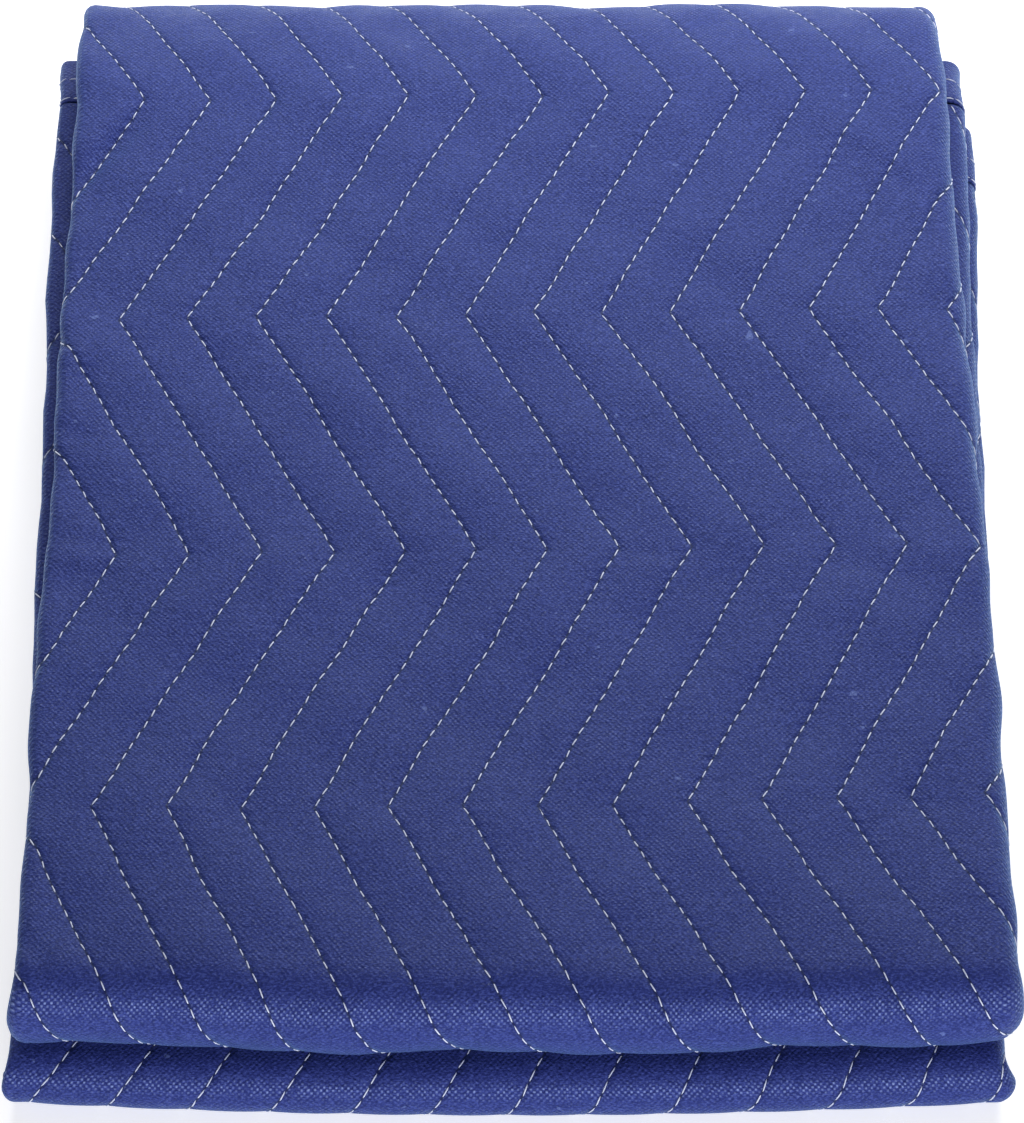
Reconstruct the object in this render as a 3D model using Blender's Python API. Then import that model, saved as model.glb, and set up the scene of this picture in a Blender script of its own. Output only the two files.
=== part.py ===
"""Quilted moving blanket, folded in four across its width and then in four along its length.

The blanket is one quilted sheet. Both side edges are folded in to the middle and that is folded in
half, which gives a bundle of four plies. Both ends of the bundle are folded in to the middle and that
is folded in half over them, which gives four layers: two round lips at the front and one wide wrap at
the back. Each end of the sheet is bound with a strip of cloth. Metres, +Z up, front towards -Y.
"""

import math
from collections import namedtuple

import bmesh
import bpy
from mathutils import Vector

MM = 0.001

# Sheet and binding
PLY_GAP = 0.45 * MM  # air between two plies of a bundle
PLIES_PER_BUNDLE = 4
BUNDLE_SLACK = 0.1  # pitches of air between two bundles
SIDE_INSET = {"first": 4.0 * MM, "last": 9.0 * MM}  # side edges stop this far short of the bundle's wrap
BINDING_WIDTH = 30.0 * MM
BINDING_CLOTH = 0.6 * MM
PIECE_GAP = 0.35 * MM
SWELL_LENGTH = 1.2 * MM  # the quilting swells back to its full thickness behind the binding

# Folded block
BACK_START = 402.0  # where the top layer starts to fall to the back, mm behind the upper lip's centre
LIP_STEP = -12.0  # the lower lip's centre lies this far in front of the upper one's, mm
FRONT_BOW = 5.5 * MM  # the front edge is fuller in the middle than at its ends
BOW_REACH = 120.0 * MM

# Facets
STEPS_PER_PLY = 5
STEPS_PER_SMALL_FOLD = 4
STEPS_PER_WRAP = 6
STEPS_PER_LIP = 8

# One row for each place where a layer's thickness, height or width changes, in mm. y and z are the
# middle of the bundle, left and right its outer edges.
Row = namedtuple("Row", "y z thickness left right")
INNER_UPPER = [
    Row(446.0, 24.9, 13.4, -172.0, 171.5),
    Row(434.0, 27.9, 13.8, -172.0, 171.0),
    Row(419.0, 30.8, 14.2, -171.5, 170.5),
    Row(407.0, 31.4, 14.4, -171.5, 170.5),
    Row(380.0, 31.5, 15.1, -171.0, 170.0),
    Row(281.0, 31.35, 15.5, -169.0, 168.0),
    Row(120.0, 31.35, 15.5, -165.0, 165.5),
    Row(0.0, 32.2, 18.0, -163.5, 166.5),
]
TOP = [
    Row(0.0, 50.2, 18.0, -163.5, 166.5),
    Row(120.0, 47.1, 16.0, -163.0, 166.0),
    Row(281.0, 47.1, 16.0, -162.0, 164.0),
    Row(BACK_START, 47.1, 16.0, -163.0, 162.5),
]
BOTTOM = [
    Row(460.0, 5.8, 11.6, -163.0, 162.5),
    Row(281.0, 5.8, 11.6, -163.5, 164.0),
    Row(120.0, 5.8, 11.6, -165.0, 164.0),
    Row(LIP_STEP, 5.8, 11.6, -168.0, 165.0),
]
INNER_LOWER = [
    Row(LIP_STEP, 17.4, 11.6, -168.0, 165.0),
    Row(120.0, 17.6, 12.0, -165.0, 167.0),
    Row(281.0, 17.6, 12.0, -165.0, 170.5),
    Row(380.0, 17.7, 12.2, -165.0, 174.0),
    Row(420.0, 17.4, 11.6, -165.0, 175.0),
]

# The back wrap as three arcs that run on from each other: how far each turns, its radius at the
# middle of the bundle in mm, and its facets. The last arc's radius closes on the bottom layer.
Arc = namedtuple("Arc", "turn radius steps")
BACK_WRAP = [Arc(18.0, 157.0, 3), Arc(27.0, 46.0, 3), Arc(135.0, None, 8)]

BLUE = (0.055, 0.085, 0.33, 1.0)
BINDING_BLUE = (0.045, 0.065, 0.25, 1.0)

# A place along the sheet's length: the bundle's middle, the way its outer face looks, its sizes
Station = namedtuple("Station", "y z facing_y facing_z thickness left right")


def blend(start, end, share):
    """Numbers part of the way from one tuple to another."""
    return [a + (b - a) * share for a, b in zip(start, end)]


def metres(row):
    return Row(*[value * MM for value in row])


def straight_stations(rows, facing_z):
    """A layer between its two folds; its outer face looks up (1) or down (-1)."""
    return [Station(row.y, row.z, 0.0, facing_z, row.thickness, row.left, row.right)
            for row in map(metres, rows)]


def turn_stations(centre, radius, from_degrees, to_degrees, sizes_start, sizes_end, steps):
    """The middle of a bundle that turns about a centre, without its first station."""
    stations = []
    for step in range(1, steps + 1):
        share = step / steps
        angle = math.radians(from_degrees + (to_degrees - from_degrees) * share)
        facing = (math.cos(angle), math.sin(angle))
        y = centre[0] + radius * facing[0]
        z = centre[1] + radius * facing[1]
        stations.append(Station(y, z, *facing, *blend(sizes_start, sizes_end, share)))
    return stations


def lip_stations(below, above):
    """A front fold, from the end of the layer below it to the start of the one above."""
    centre = (above.y, 0.5 * (below.z + above.z))
    radius = 0.5 * (above.z - below.z)
    turned = turn_stations(centre, radius, 270.0, 90.0, below[4:], above[4:], STEPS_PER_LIP)
    return turned[:-1]


def back_stations(top, bottom):
    """The wrap at the back, from the end of the top layer to the start of the bottom one."""
    fall = top.z - bottom.z
    total_turn = sum(arc.turn for arc in BACK_WRAP)
    angle = 90.0
    y, z = top.y, top.z
    sizes = top[4:]
    stations = []
    for arc in BACK_WRAP:
        start, end = math.radians(angle), math.radians(angle - arc.turn)
        radius = fall / (math.sin(start) - math.sin(end)) if arc.radius is None else arc.radius * MM
        centre = (y - radius * math.cos(start), z - radius * math.sin(start))
        reached = (90.0 - angle + arc.turn) / total_turn
        next_sizes = blend(top[4:], bottom[4:], reached)
        turned = turn_stations(centre, radius, angle, angle - arc.turn, sizes, next_sizes, arc.steps)
        stations += turned
        fall -= z - turned[-1].z
        y, z, sizes = turned[-1].y, turned[-1].z, next_sizes
        angle -= arc.turn
    return stations


def length_stations():
    """The whole sheet from one bound end to the other, along the middle of its bundle."""
    inner_upper = straight_stations(INNER_UPPER, -1.0)
    top = straight_stations(TOP, 1.0)
    bottom = straight_stations(BOTTOM, -1.0)
    inner_lower = straight_stations(INNER_LOWER, 1.0)
    stations = inner_upper + lip_stations(inner_upper[-1], top[0]) + top
    stations += back_stations(top[-1], bottom[0])
    stations += bottom[1:] + lip_stations(bottom[-1], inner_lower[0]) + inner_lower
    return stations


def ply_thickness(station):
    return station.thickness / (PLIES_PER_BUNDLE + BUNDLE_SLACK) - PLY_GAP


def across(station):
    """Points across the four plies, from the first side edge to the last.

    Each is x, the height above the bundle's middle, and the way the sheet's outer face looks there.
    """
    pitch = station.thickness / (PLIES_PER_BUNDLE + BUNDLE_SLACK)
    half_ply = 0.5 * ply_thickness(station)
    fold_x = station.left + 0.5 * pitch + half_ply
    wrap_x = station.right - 1.5 * pitch - half_ply
    points = []

    def ply(start_x, end_x, height, looks):
        for step in range(STEPS_PER_PLY + 1):
            share = step / STEPS_PER_PLY
            points.append((start_x + (end_x - start_x) * share, height, 0.0, looks))

    def fold(centre_x, centre_height, radius, from_degrees, to_degrees, steps):
        for step in range(1, steps):
            angle = math.radians(from_degrees + (to_degrees - from_degrees) * step / steps)
            away = (math.cos(angle), math.sin(angle))
            points.append((centre_x + radius * away[0], centre_height + radius * away[1], *away))

    ply(wrap_x - SIDE_INSET["first"], fold_x, 0.5 * pitch, -1.0)
    fold(fold_x, pitch, 0.5 * pitch, 270.0, 90.0, STEPS_PER_SMALL_FOLD)
    ply(fold_x, wrap_x, 1.5 * pitch, 1.0)
    fold(wrap_x, 0.0, 1.5 * pitch, 90.0, -90.0, STEPS_PER_WRAP)
    ply(wrap_x, fold_x, -1.5 * pitch, -1.0)
    fold(fold_x, -pitch, 0.5 * pitch, 270.0, 90.0, STEPS_PER_SMALL_FOLD)
    ply(fold_x, wrap_x - SIDE_INSET["last"], -0.5 * pitch, 1.0)
    return points


def place(station, point, out):
    """A point of the folded sheet, `out` metres outside the middle of its ply."""
    x, height, looks_x, looks_up = point
    height += out * looks_up
    x += out * looks_x
    y = station.y + height * station.facing_y
    z = station.z + height * station.facing_z
    middle = 0.5 * (station.left + station.right)
    aside = (x - middle) / (0.5 * (station.right - station.left))
    nearness = min(max(1.0 - station.y / BOW_REACH, 0.0), 1.0)
    y -= FRONT_BOW * nearness * (1.0 - min(aside * aside, 1.0))
    return Vector((x, y, z))


def run_lengths(stations):
    """How far each station lies from the first one."""
    lengths = [0.0]
    for start, end in zip(stations, stations[1:]):
        lengths.append(lengths[-1] + math.hypot(end.y - start.y, end.z - start.z))
    return lengths


def station_at(stations, distance):
    """The station at a distance from the first one."""
    lengths = run_lengths(stations)
    index = max(i for i, length in enumerate(lengths[:-1]) if length <= distance)
    share = (distance - lengths[index]) / (lengths[index + 1] - lengths[index])
    return Station(*blend(stations[index], stations[index + 1], share))


def bound_stations(stations):
    """Stations and ply half thicknesses for the quilted sheet, thinner where the bindings grip it."""
    lengths = run_lengths(stations)
    total = lengths[-1]
    squeeze = BINDING_CLOTH + PIECE_GAP
    grip = BINDING_WIDTH + PIECE_GAP
    from_ends = [squeeze, grip, grip + SWELL_LENGTH]
    places = [length for length in lengths if not near_end_mark(min(length, total - length), from_ends)]
    places = sorted(places + from_ends + [total - distance for distance in from_ends])
    held = [station_at(stations, distance) for distance in places]
    halves = []
    for distance, station in zip(places, held):
        gripped = min(distance, total - distance) < grip + 0.5 * SWELL_LENGTH
        halves.append(0.5 * ply_thickness(station) - (squeeze if gripped else 0.0))
    return held, halves


def near_end_mark(distance, from_ends):
    """Whether a station is the bound edge itself or falls where the quilting swells."""
    web, grip, swelled = from_ends
    return distance < web or grip - PIECE_GAP <= distance <= swelled + PIECE_GAP


def new_object(name, mesh_builder, collection, colour, roughness, shift):
    """An object made from a bmesh, with its own material, moved to the block's origin."""
    bmesh.ops.recalc_face_normals(mesh_builder, faces=mesh_builder.faces)
    bmesh.ops.translate(mesh_builder, verts=mesh_builder.verts, vec=shift)
    mesh = bpy.data.meshes.new(name)
    mesh_builder.to_mesh(mesh)
    mesh_builder.free()
    material = bpy.data.materials.new(name)
    material.use_nodes = True
    shader = material.node_tree.nodes["Principled BSDF"]
    shader.inputs["Base Color"].default_value = colour
    shader.inputs["Roughness"].default_value = roughness
    shader.inputs["Metallic"].default_value = 0.0
    mesh.materials.append(material)
    collection.objects.link(bpy.data.objects.new(name, mesh))


def quilted_sheet(stations):
    """The whole quilted sheet as one closed solid: its two faces and its four edges."""
    held, halves = bound_stations(stations)
    builder = bmesh.new()
    faces = {}
    for side in (1.0, -1.0):
        faces[side] = [[builder.verts.new(place(station, point, side * half)) for point in across(station)]
                       for station, half in zip(held, halves)]
    rows = len(held)
    columns = len(faces[1.0][0])
    for side in (1.0, -1.0):
        grid = faces[side]
        for row in range(rows - 1):
            for column in range(columns - 1):
                builder.faces.new((grid[row][column], grid[row][column + 1],
                                   grid[row + 1][column + 1], grid[row + 1][column]))
    outer, inner = faces[1.0], faces[-1.0]
    for row in (0, rows - 1):
        for column in range(columns - 1):
            builder.faces.new((outer[row][column], outer[row][column + 1],
                               inner[row][column + 1], inner[row][column]))
    for column in (0, columns - 1):
        for row in range(rows - 1):
            builder.faces.new((outer[row][column], outer[row + 1][column],
                               inner[row + 1][column], inner[row][column]))
    return builder


def binding(stations):
    """A strip folded over one end of the sheet, a channel that runs across all four plies."""
    passed = [length for length in run_lengths(stations) if BINDING_CLOTH < length < BINDING_WIDTH]
    outer = [station_at(stations, distance) for distance in [0.0, *passed, BINDING_WIDTH]]
    inner = [station_at(stations, distance) for distance in [BINDING_CLOTH, *passed, BINDING_WIDTH]]
    skins = ((outer, 1, 0), (inner[::-1], 1, 1), (inner, -1, 1), (outer[::-1], -1, 0))
    builder = bmesh.new()
    rings = []
    for index in range(len(across(stations[0]))):
        ring = []
        for skin, side, inside in skins:
            for station in skin:
                out = side * (0.5 * ply_thickness(station) - inside * BINDING_CLOTH)
                ring.append(builder.verts.new(place(station, across(station)[index], out)))
        rings.append(ring)
    corners = len(rings[0])
    for ring, after in zip(rings, rings[1:]):
        for corner in range(corners):
            following = (corner + 1) % corners
            builder.faces.new((ring[corner], ring[following], after[following], after[corner]))
    half = corners // 2
    for ring in (rings[0], rings[-1]):
        builder.faces.new((ring[0], ring[half - 1], ring[half], ring[-1]))  # across the edge
        for first in (0, half):
            for step in range(len(outer) - 1):
                near, far = first + step, first + half - 1 - step
                builder.faces.new((ring[near], ring[near + 1], ring[far - 1], ring[far]))
    return builder


def main():
    for old in list(bpy.data.objects):
        bpy.data.objects.remove(old, do_unlink=True)
    collection = bpy.data.collections.new("moving_blanket")
    bpy.context.scene.collection.children.link(collection)

    stations = length_stations()
    sheet = quilted_sheet(stations)
    low = Vector([min(vert.co[axis] for vert in sheet.verts) for axis in range(3)])
    high = Vector([max(vert.co[axis] for vert in sheet.verts) for axis in range(3)])
    shift = Vector((-0.5 * (low.x + high.x), -0.5 * (low.y + high.y), -low.z))

    new_object("quilted_sheet", sheet, collection, BLUE, 0.85, shift)
    new_object("binding_upper_end", binding(stations),
               collection, BINDING_BLUE, 0.8, shift)
    new_object("binding_lower_end", binding(stations[::-1]),
               collection, BINDING_BLUE, 0.8, shift)


main()
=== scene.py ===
import math

import bmesh
import bpy
import numpy as np
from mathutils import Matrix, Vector


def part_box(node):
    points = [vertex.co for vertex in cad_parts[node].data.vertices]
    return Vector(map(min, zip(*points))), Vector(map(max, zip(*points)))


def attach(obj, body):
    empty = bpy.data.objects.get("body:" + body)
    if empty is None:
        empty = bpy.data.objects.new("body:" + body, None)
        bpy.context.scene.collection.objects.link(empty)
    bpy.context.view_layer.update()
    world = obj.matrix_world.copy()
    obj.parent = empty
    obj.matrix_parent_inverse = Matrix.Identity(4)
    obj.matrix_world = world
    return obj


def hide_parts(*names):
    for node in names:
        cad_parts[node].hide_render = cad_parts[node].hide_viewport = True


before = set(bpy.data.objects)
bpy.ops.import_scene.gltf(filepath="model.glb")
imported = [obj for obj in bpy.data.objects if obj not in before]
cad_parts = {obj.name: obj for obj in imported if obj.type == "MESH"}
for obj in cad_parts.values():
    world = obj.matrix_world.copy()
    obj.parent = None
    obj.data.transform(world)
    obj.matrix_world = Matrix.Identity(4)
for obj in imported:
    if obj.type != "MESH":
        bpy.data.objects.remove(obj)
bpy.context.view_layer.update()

mm = 0.001

# the folded block: each bundle holds four plies, folded twice on its left and wrapped once on its right
fold = {
    "plies": 4,
    "slack": 0.1,  # pitches of air between two bundles
    "plyGap": 0.45 * mm,
    "sideInset": (4.0 * mm, 9.0 * mm),  # the blanket's two side edges stop short of the wrap
    "frontBow": 5.5 * mm,  # the front edges are fuller in their middle
    "bowReach": 120.0 * mm,
    "plyRun": 318.0 * mm,  # cloth in a ply, between its folds
    "smallTurn": 6.3 * mm,  # cloth round a fold on the left
    "wrapTurn": 18.9 * mm,  # cloth round the wrap on the right
}

# each layer's rows in mm: y, middle height, thickness, left edge, right edge
layerRows = {
    "innerUpper": (
        (446.0, 24.9, 13.4, -172.0, 171.5),
        (434.0, 27.9, 13.8, -172.0, 171.0),
        (419.0, 30.8, 14.2, -171.5, 170.5),
        (407.0, 31.4, 14.4, -171.5, 170.5),
        (380.0, 31.5, 15.1, -171.0, 170.0),
        (281.0, 31.35, 15.5, -169.0, 168.0),
        (120.0, 31.35, 15.5, -165.0, 165.5),
        (0.0, 32.2, 18.0, -162.6, 166.0),
    ),
    "top": (
        (0.0, 50.2, 18.0, -162.6, 166.0),
        (120.0, 47.1, 16.0, -162.6, 166.0),
        (281.0, 47.1, 16.0, -162.0, 164.0),
        (402.0, 47.1, 16.0, -163.0, 162.5),
    ),
    "bottom": (
        (460.0, 5.8, 11.6, -163.0, 162.5),
        (281.0, 5.8, 11.6, -163.5, 164.0),
        (120.0, 5.8, 11.6, -165.0, 164.0),
        (-12.0, 5.8, 11.6, -166.0, 163.6),
    ),
    "innerLower": (
        (-12.0, 17.4, 11.6, -166.0, 163.6),
        (120.0, 17.6, 12.0, -165.0, 167.0),
        (281.0, 17.6, 12.0, -165.0, 170.5),
        (380.0, 17.7, 12.2, -165.0, 174.0),
        (420.0, 17.4, 11.6, -165.0, 175.0),
    ),
}

# the back roll's arcs run on from each other: degrees turned, radius in mm (the last closes on the bottom)
backArcs = ((18.0, 157.0), (27.0, 46.0), (135.0, None))


def levelCurve(at, places, values):
    # a curve through a table's rows, never past them
    order = np.argsort(places)
    places = np.asarray(places, float)[order]
    values = np.asarray(values, float)[order]
    rises = np.diff(values) / np.diff(places)
    slopes = np.zeros(len(values))
    for i in range(1, len(values) - 1):
        if rises[i - 1] * rises[i] > 0:
            slopes[i] = 2 * rises[i - 1] * rises[i] / (rises[i - 1] + rises[i])
    cell = np.clip(np.searchsorted(places, at, side="right") - 1, 0, len(places) - 2)
    width = places[cell + 1] - places[cell]
    t = np.clip((at - places[cell]) / width, 0, 1)
    levels = values[cell] * (1 + 2 * t) * (1 - t) ** 2 + values[cell + 1] * t * t * (3 - 2 * t)
    return levels + width * (slopes[cell] * t * (1 - t) ** 2 - slopes[cell + 1] * t * t * (1 - t))


def layerSpine(rows, step=1.5 * mm):
    # columns: y, z, facing y, facing z, thickness, left, right
    rows = np.array(rows) * mm
    y = np.linspace(rows[0, 0], rows[-1, 0], int(abs(rows[-1, 0] - rows[0, 0]) / step) + 2)
    z, thick, left, right = (levelCurve(y, rows[:, 0], rows[:, i]) for i in range(1, 5))
    alongY, alongZ = np.gradient(y), np.gradient(z)
    size = np.hypot(alongY, alongZ)
    return np.column_stack([y, z, -alongZ / size, alongY / size, thick, left, right])


def turnSpine(centre, radius, fromDegrees, toDegrees, sizesFrom, sizesTo, count=40):
    # the middle line round a turn, without its first place
    share = np.arange(1, count + 1)[:, None] / count
    angle = np.radians(fromDegrees + (toDegrees - fromDegrees) * share)
    facing = np.hstack([np.cos(angle), np.sin(angle)])
    sizes = sizesFrom + (sizesTo - sizesFrom) * share
    return np.hstack([np.array(centre) + radius * facing, facing, sizes])


def lipSpine(below, above):
    centre = (above[0], 0.5 * (below[1] + above[1]))
    return turnSpine(centre, 0.5 * abs(above[1] - below[1]), 270, 90, below[4:], above[4:])[:-1]


def backSpine(top, bottom):
    y, z, sizes, angle = top[0], top[1], top[4:], 90.0
    arcs = []
    for turned, radius in backArcs:
        start, end = math.radians(angle), math.radians(angle - turned)
        radius = (z - bottom[1]) / (math.sin(start) - math.sin(end)) if radius is None else radius * mm
        centre = (y - radius * math.cos(start), z - radius * math.sin(start))
        sizesTo = top[4:] + (bottom[4:] - top[4:]) * (90 - angle + turned) / 180
        arcs.append(turnSpine(centre, radius, angle, angle - turned, sizes, sizesTo))
        y, z, sizes, angle = arcs[-1][-1, 0], arcs[-1][-1, 1], sizesTo, angle - turned
    return np.vstack(arcs)


def wholeSpine():
    inner, top, bottom, lower = (layerSpine(layerRows[name])
                                 for name in ("innerUpper", "top", "bottom", "innerLower"))
    parts = {
        "innerUpper": inner,
        "upperLip": lipSpine(inner[-1], top[0]),
        "top": top,
        "backRoll": backSpine(top[-1], bottom[0]),
        "bottom": bottom[1:],
        "lowerLip": lipSpine(bottom[-1], lower[0]),
        "innerLower": lower,
    }
    places = np.vstack(list(parts.values()))
    outer = places[:, :2] + places[:, 2:4] * places[:, 4:5] / 2
    length = np.concatenate([[0], np.cumsum(np.hypot(*np.diff(outer, axis=0).T))])
    first = dict(zip(parts, np.cumsum([0] + [len(part) for part in parts.values()])))
    length -= length[first["top"]]  # counted from the start of the top layer, along the outer face
    starts = {name: length[i] for name, i in first.items()}
    return places, length, dict(starts, end=length[-1])


spine, spineLength, starts = wholeSpine()
print("cloth from end to end:", round(starts["end"] - starts["innerUpper"], 3), "m")

# the cloth's runs across: ply, fold, ply, wrap, ply, fold, ply
runs = (fold["plyRun"] - fold["sideInset"][0], fold["smallTurn"], fold["plyRun"], fold["wrapTurn"],
        fold["plyRun"], fold["smallTurn"], fold["plyRun"] - fold["sideInset"][1])
edges = np.concatenate([[0], np.cumsum(runs)])
clothWidth = edges[-1]
outerMiddle = 0.5 * (edges[2] + edges[3])

# fold edges wander a little: swing in mm, wavelength in mm, start
edgeWander = {
    "left": ((0.5, 171.0, 0.3), (0.35, 67.0, 1.9), (0.2, 29.0, 4.1)),
    "right": ((0.45, 143.0, 2.2), (0.3, 59.0, 0.7), (0.2, 31.0, 3.3)),
}

# the ends of the two front lips swell sideways: size and reach in mm
lipSwell = {"upperLip": (1.4, 17.0), "lowerLip": (2.2, 11.0)}


def wander(along, waves):
    return sum(size * mm * np.sin(along / (length * mm) * 2 * np.pi + start)
               for size, length, start in waves)


def swell(along):
    total = 0
    for name, after in (("upperLip", "top"), ("lowerLip", "innerLower")):
        size, reach = lipSwell[name]
        middle = 0.5 * (starts[name] + starts[after])
        total = total + size * mm * np.exp(-(((along - middle) / (reach * mm)) ** 2))
    return total


def placeCloth(u, v, side, rise=0.0):
    # a point of the cloth in the block: u across and v along the cloth, in metres
    # side is 1 for its outer face and -1 for its inner one, rise is how far outwards from that face
    u, v, side, rise = np.broadcast_arrays(*(np.asarray(a, float) for a in (u, v, side, rise)))
    y, z, facingY, facingZ, thick, left, right = (np.interp(v, spineLength, spine[:, i]) for i in range(7))
    size = np.hypot(facingY, facingZ)
    facingY, facingZ = facingY / size, facingZ / size
    left = left + wander(v, edgeWander["left"]) - swell(v)
    right = right + wander(v, edgeWander["right"]) + swell(v)
    pitch = thick / (fold["plies"] + fold["slack"])
    half = 0.5 * (pitch - fold["plyGap"])
    foldX, wrapX = left + 0.5 * pitch + half, right - 1.5 * pitch - half
    insetA, insetB = fold["sideInset"]
    x, h, looksX, looksH = (np.zeros(u.shape) for _ in range(4))
    plies = ((0, wrapX - insetA, foldX, 0.5, -1), (2, foldX, wrapX, 1.5, 1),
             (4, wrapX, foldX, -1.5, -1), (6, foldX, wrapX - insetB, -0.5, 1))
    for i, fromX, toX, level, looks in plies:
        here = (u >= edges[i]) & (u <= edges[i + 1])
        x = np.where(here, fromX + (toX - fromX) * (u - edges[i]) / runs[i], x)
        h = np.where(here, level * pitch, h)
        looksH = np.where(here, looks, looksH)
    turns = ((1, foldX, 1, 0.5, 1.5, -1), (3, wrapX, 0, 1.5, 0.5, -1), (5, foldX, -1, 0.5, 1.5, -1))
    for i, centreX, level, radius, halfTurns, way in turns:
        here = (u > edges[i]) & (u < edges[i + 1])
        angle = np.pi * (halfTurns + way * (u - edges[i]) / runs[i])
        x = np.where(here, centreX + radius * pitch * np.cos(angle), x)
        h = np.where(here, (level + radius * np.sin(angle)) * pitch, h)
        looksX = np.where(here, np.cos(angle), looksX)
        looksH = np.where(here, np.sin(angle), looksH)
    out = side * half + rise
    x = x + out * looksX
    h = h + out * looksH
    y, z = y + h * facingY, z + h * facingZ
    aside = np.clip(np.abs((2 * x - left - right) / (right - left)), 0, 1)
    bow = fold["frontBow"] * np.clip(1 - y / fold["bowReach"], 0, 1) * (1 - aside ** 2)
    return np.stack([x, y - bow, z], axis=-1)


def frameShift():
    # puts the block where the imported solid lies
    samplesAcross, samplesAlong = 700, 900
    u, v = np.meshgrid(np.linspace(0, clothWidth, samplesAcross),
                       np.linspace(starts["innerUpper"], starts["end"], samplesAlong))
    block = placeCloth(u, v, 1).reshape(-1, 3)
    low, high = (np.array(corner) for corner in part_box("quilted_sheet"))
    shift = 0.5 * (low + high) - 0.5 * (block.min(0) + block.max(0))
    shift[1] = high[1] - block[:, 1].max()
    shift[2] = low[2] - block[:, 2].min()
    return shift


shift = frameShift()
print("block placed in the frame")

# zigzag rows of quilting, drawn on the unfolded cloth
quilting = {
    "gauge": 25.0 * mm,  # needles of the quilting machine stand this far apart
    "halfPeriod": 112.5 * mm,
    "swing": 54.0 * mm,
    "leftPoint": 66.0 * mm,  # a row of left points, behind the upper lip
    "firstLine": -141.0 * mm,  # a line's left point, from the cloth's middle
    "skew": 0.02,  # the points run a little askew
    # the rows stray by up to 0.6 mm: size in mm, wavelength along and across in mm, start
    "strays": ((0.34, 143.0, 211.0, 0.4), (0.18, 83.0, -127.0, 2.1), (0.07, 37.0, 61.0, 4.4)),
    "bottomEase": -9.7 * mm,
    "lipEase": (0.02, 0.035),  # the cloth is drawn a little wider round the upper and the lower lip
    "upperEaseReach": (20.0 * mm, 110.0 * mm),  # widest up to the first, plain from the second
    "lowerEaseReach": (-100.0 * mm, 10.0 * mm),  # plain up to the first, widest from the second
    "puff": 0.75 * mm,  # between two rows, where the cloth lies free
    "puffPower": 0.8,
    "puffLevel": 0.55,  # the share of a puff's height that lies at the plain surface
    "flatPuff": 0.5 * mm,  # where it is pressed by other layers
    "lipFade": 10.0 * mm,
    "backFade": 30.0 * mm,
}


def smoothStep(value, low, high):
    t = np.clip((value - low) / (high - low), 0, 1)
    return t * t * (3 - 2 * t)


def patternRun(v):
    # the pattern's own length: the cloth is a little fuller under the block
    share = np.clip((v - starts["bottom"]) / (starts["lowerLip"] - starts["bottom"]), 0, 1)
    return v + quilting["bottomEase"] * share


def widening(v):
    # how much wider than cut the cloth lies, by its place along the block
    upper, lower = quilting["lipEase"]
    atUpper = 1 - smoothStep(np.abs(v - starts["upperLip"] / 2), *quilting["upperEaseReach"])
    atLower = smoothStep(v - starts["lowerLip"], *quilting["lowerEaseReach"])
    return 1 + upper * atUpper + lower * atLower


def slantWaves(u, v, waves):
    return sum(size * mm * np.sin(2 * np.pi * (v / (a * mm) + u / (b * mm)) + start)
               for size, a, b, start in waves)


def clothAcross(u, v):
    # a place's distance from the cloth's middle as the pattern has it
    return (u - outerMiddle) / widening(v) - slantWaves(u, v, quilting["strays"])


def zigzag(p, run):
    # how far a row has swung to the right, 0 at a left point
    turns = (run - quilting["leftPoint"] - quilting["skew"] * p) / quilting["halfPeriod"]
    return quilting["swing"] * (1 - np.abs(1 - np.mod(turns, 2)))


def lineShare(u, v):
    # 0 on a row of stitching, 1 on the next one to the right
    p = clothAcross(u, v)
    return np.mod((p - zigzag(p, patternRun(v)) - quilting["firstLine"]) / quilting["gauge"], 1)


# soft creases and swells of the top layer in mm: from x, y to x, y in the block, half width, height
creases = (
    (-163.0, 352.0, -139.0, 389.0, 4.5, -2.0),
    (-160.0, 372.0, -143.0, 398.0, 5.0, 1.1),
    (-162.0, 336.0, -148.0, 350.0, 4.0, -0.5),
    (-165.0, 272.0, -150.0, 268.0, 5.0, 0.7),
    (-166.0, 238.0, -146.0, 229.0, 4.0, -0.7),
    (-166.0, 226.0, -150.0, 219.0, 5.0, 0.6),
    (-166.0, 186.0, -140.0, 180.0, 4.0, -0.6),
    (-160.0, 176.0, -128.0, 172.0, 5.0, 0.5),
    (37.0, 179.0, 62.0, 174.0, 3.5, -0.5),
    (45.0, 172.0, 75.0, 170.0, 4.0, 0.4),
    (100.0, 174.0, 150.0, 164.0, 4.0, -0.5),
    (112.0, 182.0, 160.0, 176.0, 5.0, 0.4),
    (11.0, 122.0, 10.0, 24.0, 3.2, -0.45),
    (15.5, 118.0, 15.0, 30.0, 3.2, 0.3),
    (118.0, 402.0, 141.0, 370.0, 9.0, 0.9),
    (138.0, 356.0, 150.0, 338.0, 8.0, 0.7),
    (128.0, 378.0, 152.0, 352.0, 4.0, -0.5),
    (-118.0, 66.0, -96.0, 62.0, 4.0, 0.4),
    (-60.0, 296.0, -30.0, 288.0, 5.0, -0.4),
    (60.0, 300.0, 90.0, 292.0, 5.0, 0.35),
    (-161.0, 8.0, -152.0, -6.0, 3.5, -1.2),
    (-20.0, 405.0, 10.0, 398.0, 5.0, 0.4),
    (-100.0, 178.0, -70.0, 186.0, 4.5, -0.35),
    (120.0, 72.0, 158.0, 60.0, 5.0, -0.45),
)


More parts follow.
